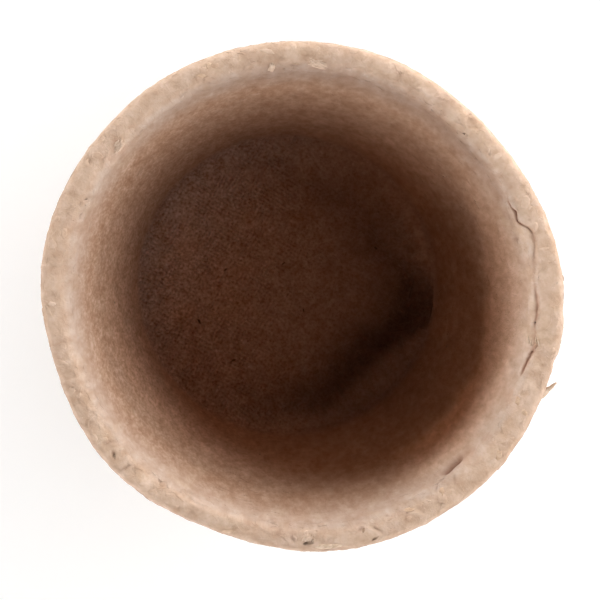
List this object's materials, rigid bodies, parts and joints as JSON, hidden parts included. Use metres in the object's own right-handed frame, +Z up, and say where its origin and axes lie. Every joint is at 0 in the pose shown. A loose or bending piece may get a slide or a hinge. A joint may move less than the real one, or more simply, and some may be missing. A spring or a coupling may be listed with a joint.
{
  "type": "peat pot",
  "caption": "Round tapered seedling pot moulded from peat and wood fibre, with a thick, rough, split rim and a screen-printed floor; it stands open upwards on its foot.",
  "frame": {"origin": "middle of the foot, on the surface that the pot stands on", "axes": "+Z up along the pot's axis, out of its mouth; +X towards the split in the rim"},
  "size_m": [0.06, 0.06, 0.0603],
  "materials": {
    "peat_pulp": "dry matt felt of peat and wood fibre",
    "pale_wood": "raw split softwood",
    "orange_wood": "raw resinous softwood",
    "pale_fibre": "matted pale wood fibre",
    "bark": "dry bark"
  },
  "bodies": {
    "root": {"pot_body": "peat_pulp", "rim_whisker": "pale_wood", "crack_flake": "pale_wood", "edge_sliver": "pale_wood", "rim_chips": "orange_wood", "fibre_bundles": "pale_fibre", "bark_flecks": "bark", "wall_flecks": "bark", "floor_flecks": "bark"}
  },
  "joints": []
}
